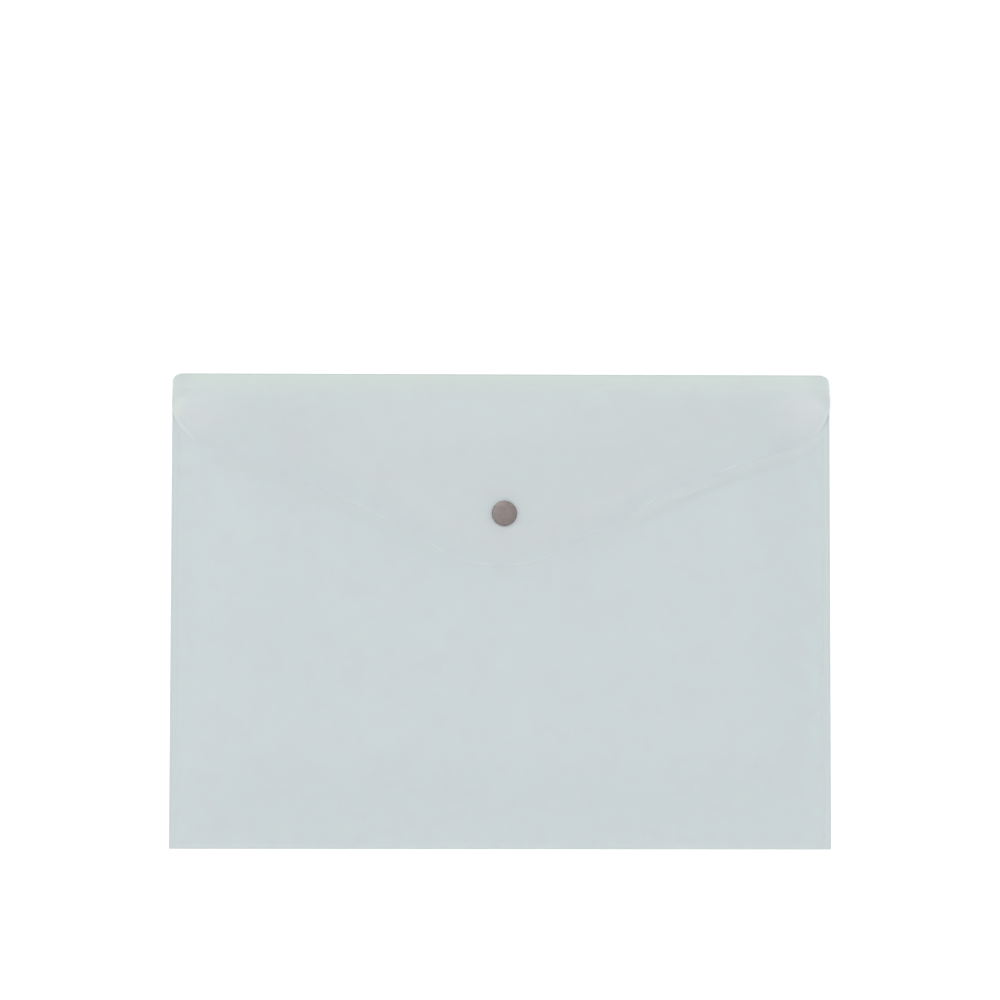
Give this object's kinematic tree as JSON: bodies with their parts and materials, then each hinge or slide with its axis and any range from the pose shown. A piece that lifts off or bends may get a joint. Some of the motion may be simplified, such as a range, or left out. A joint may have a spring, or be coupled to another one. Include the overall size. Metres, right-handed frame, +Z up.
{
  "type": "document envelope",
  "caption": "Landscape translucent plastic document envelope with a creased top spine, a shallow V flap and a round metal press stud.",
  "frame": {"origin": "on the table under the middle of the closed envelope, lying on its back", "axes": "+X along the width, to the right as seen from the front; +Y towards the top fold; +Z up, out of the front"},
  "size_m": [0.3304, 0.237, 0.0102],
  "materials": {
    "sheet": "pale blue-grey polypropylene sheet, milky, with a fine satin grain",
    "weld": "the same sheet melted together in a narrow band, smoother, with a bead along the edge",
    "snap_metal": "warm grey satin nickel plate on drawn sheet metal",
    "spring_wire": "drawn phosphor bronze wire"
  },
  "bodies": {
    "pocket": {"back_panel": "sheet", "front_panel": "sheet", "bottom_fold": "sheet", "left_side_weld": "weld", "right_side_weld": "weld", "snap_stud": "snap_metal", "snap_eyelet": "snap_metal"},
    "spine": {"top_spine": "sheet"},
    "cover": {"flap": "sheet", "snap_cap_shell": "snap_metal", "snap_cap_post": "snap_metal", "snap_socket": "snap_metal", "socket_spring_left": "spring_wire", "socket_spring_right": "spring_wire"}
  },
  "joints": [
    {"name": "lower_crease", "type": "hinge", "parent": "pocket", "child": "spine", "pos_m": [0, 0.1185, 0.00035], "axis": [-1, 0, 0], "range_deg": [0, 147.5]},
    {"name": "upper_crease", "type": "hinge", "parent": "spine", "child": "cover", "pos_m": [0, 0.111, 0.00505], "axis": [-1, 0, 0], "range_deg": [0, 25.5]}
  ]
}
